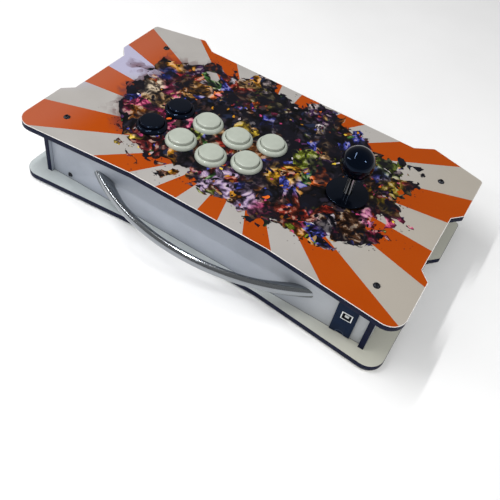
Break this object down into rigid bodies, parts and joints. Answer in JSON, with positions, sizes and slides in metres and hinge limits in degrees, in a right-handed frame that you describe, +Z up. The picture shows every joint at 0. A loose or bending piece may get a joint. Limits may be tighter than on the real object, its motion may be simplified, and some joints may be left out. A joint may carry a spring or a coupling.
{
  "type": "arcade joystick panel",
  "caption": "Table-top arcade control panel: shaped boards on four walls, push buttons, ball-top joystick, bow carry handle and rear data inlet.",
  "frame": {"origin": "on the table, under the middle of the whole panel's box", "axes": "+X to the player's right, -Y towards the player, +Z up"},
  "size_m": [0.45, 0.2851, 0.1409],
  "materials": {
    "white_board": "satin",
    "printed_film": "satin",
    "wall_board": "satin",
    "bare_wood": "matt",
    "dark_screw": "black oxide",
    "zinc_screw": "zinc",
    "post_metal": "satin",
    "foot_rubber": "matt",
    "handle_metal": "brushed",
    "plate_black": "satin",
    "bezel_white": "satin",
    "socket_metal": "satin",
    "tongue_plastic": "matt",
    "circuit_board": "solder resist",
    "connector_plastic": "satin",
    "lead_sheath": "matt",
    "stick_steel": "plated",
    "stick_plastic": "moulded",
    "bush_plastic": "moulded",
    "shaft_steel": "polished",
    "spring_steel": "drawn wire",
    "ball_black": "polished",
    "washer_black": "polished",
    "button_white": "moulded",
    "button_black": "moulded",
    "switch_black": "moulded"
  },
  "bodies": {
    "case": {"base_board": "white_board", "top_board": "white_board", "printed_film": "printed_film", "rear_wall": "wall_board", "front_wall": "wall_board", "side_wall_left": "wall_board", "side_wall_right": "wall_board", "corner_posts": "post_metal", "wall_cleats": "bare_wood", "panel_screws": "dark_screw", "base_screws": "dark_screw", "wall_screws": "dark_screw", "rubber_feet": "foot_rubber", "foot_screws": "zinc_screw", "carry_handle": "handle_metal", "handle_screws": "dark_screw", "inlet_plate": "plate_black", "inlet_bezel": "bezel_white", "inlet_socket": "socket_metal", "inlet_tongue": "tongue_plastic", "encoder_board": "circuit_board", "encoder_sockets": "connector_plastic", "encoder_spacers": "post_metal", "encoder_screws": "zinc_screw", "inlet_lead": "lead_sheath", "stick_lead": "lead_sheath", "button_loom": "lead_sheath", "stick_plate": "stick_steel", "stick_housing": "stick_plastic", "stick_frame": "stick_plastic", "stick_gate": "stick_plastic", "stick_switches": "switch_black", "stick_mount_screws": "zinc_screw", "stick_case_screws": "zinc_screw", "button_switches": "switch_black", "button_body_1": "button_white", "button_body_2": "button_white", "button_body_3": "button_white", "button_body_4": "button_black", "button_body_5": "button_white", "button_body_6": "button_white", "button_body_7": "button_white", "button_body_8": "button_black"},
    "swivel": {"swivel_bush": "bush_plastic"},
    "lever": {"stick_shaft": "shaft_steel", "pivot_ball": "bush_plastic", "return_spring": "spring_steel", "actuator": "stick_plastic", "shaft_clip": "stick_steel", "ball_top": "ball_black"},
    "washer_slide": {"slide_washer": "washer_black"},
    "washer_cover": {"dust_washer": "washer_black"},
    "button_1": {"plunger_1": "button_white"},
    "button_2": {"plunger_2": "button_white"},
    "button_3": {"plunger_3": "button_white"},
    "button_4": {"plunger_4": "button_black"},
    "button_5": {"plunger_5": "button_white"},
    "button_6": {"plunger_6": "button_white"},
    "button_7": {"plunger_7": "button_white"},
    "button_8": {"plunger_8": "button_black"}
  },
  "joints": [
    {"name": "lever_forward_back", "type": "hinge", "parent": "case", "child": "swivel", "pos_m": [-0.11, -0.00643, 0.0605], "axis": [1, 0, 0], "range_deg": [-9, 9], "stiffness_Nm_per_rad": 0.4},
    {"name": "lever_left_right", "type": "hinge", "parent": "swivel", "child": "lever", "pos_m": [-0.11, -0.00643, 0.0605], "axis": [0, 1, 0], "range_deg": [-9, 9], "stiffness_Nm_per_rad": 0.4},
    {"name": "washer_left_right", "type": "slide", "parent": "case", "child": "washer_slide", "axis": [1, 0, 0], "range_m": [-0.0036, 0.0036]},
    {"name": "washer_forward_back", "type": "slide", "parent": "washer_slide", "child": "washer_cover", "axis": [0, 1, 0], "range_m": [-0.0036, 0.0036]},
    {"name": "button_1_press", "type": "slide", "parent": "case", "child": "button_1", "axis": [0, 0, -1], "range_m": [0, 0.003], "stiffness_N_per_m": 150, "springref_m": -0.002},
    {"name": "button_2_press", "type": "slide", "parent": "case", "child": "button_2", "axis": [0, 0, -1], "range_m": [0, 0.003], "stiffness_N_per_m": 150, "springref_m": -0.002},
    {"name": "button_3_press", "type": "slide", "parent": "case", "child": "button_3", "axis": [0, 0, -1], "range_m": [0, 0.003], "stiffness_N_per_m": 150, "springref_m": -0.002},
    {"name": "button_4_press", "type": "slide", "parent": "case", "child": "button_4", "axis": [0, 0, -1], "range_m": [0, 0.003], "stiffness_N_per_m": 150, "springref_m": -0.002},
    {"name": "button_5_press", "type": "slide", "parent": "case", "child": "button_5", "axis": [0, 0, -1], "range_m": [0, 0.003], "stiffness_N_per_m": 150, "springref_m": -0.002},
    {"name": "button_6_press", "type": "slide", "parent": "case", "child": "button_6", "axis": [0, 0, -1], "range_m": [0, 0.003], "stiffness_N_per_m": 150, "springref_m": -0.002},
    {"name": "button_7_press", "type": "slide", "parent": "case", "child": "button_7", "axis": [0, 0, -1], "range_m": [0, 0.003], "stiffness_N_per_m": 150, "springref_m": -0.002},
    {"name": "button_8_press", "type": "slide", "parent": "case", "child": "button_8", "axis": [0, 0, -1], "range_m": [0, 0.003], "stiffness_N_per_m": 150, "springref_m": -0.002}
  ],
  "couplings": [
    {"joint": "washer_left_right", "follows": "lever_left_right", "m_per_rad": 0.0219},
    {"joint": "washer_forward_back", "follows": "lever_forward_back", "m_per_rad": -0.0219}
  ]
}
